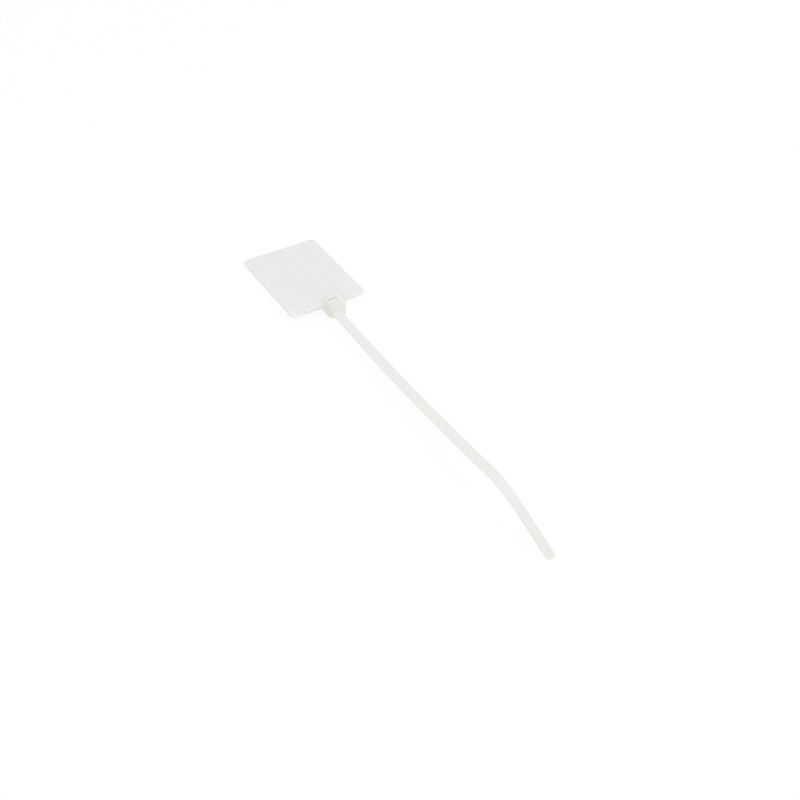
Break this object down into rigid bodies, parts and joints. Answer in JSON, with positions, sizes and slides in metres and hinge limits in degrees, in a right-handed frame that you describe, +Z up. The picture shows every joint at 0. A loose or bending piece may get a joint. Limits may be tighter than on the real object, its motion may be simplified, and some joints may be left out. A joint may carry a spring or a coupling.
{
  "type": "marker cable tie",
  "caption": "One-piece nylon tie: a flat plate to write on, a locking head on its edge, and a strap with ratchet teeth and a bent-down tail. It bundles cables and labels them.",
  "frame": {"origin": "on the surface that the tie lies on, under the middle of its overall length and width; the lower far edge of the plate and the tip of the tail are at this level", "axes": "+X along the strap from the plate to the tip of the tail, +Y across the strap to the left as seen looking along +X, +Z up, on the side of the plate that is written on"},
  "size_m": [0.1248, 0.021, 0.0058],
  "materials": {
    "nylon": "natural nylon, milky white, satin, slightly translucent where it is thin"
  },
  "bodies": {
    "root": {"marker_tie": "nylon"}
  },
  "joints": []
}
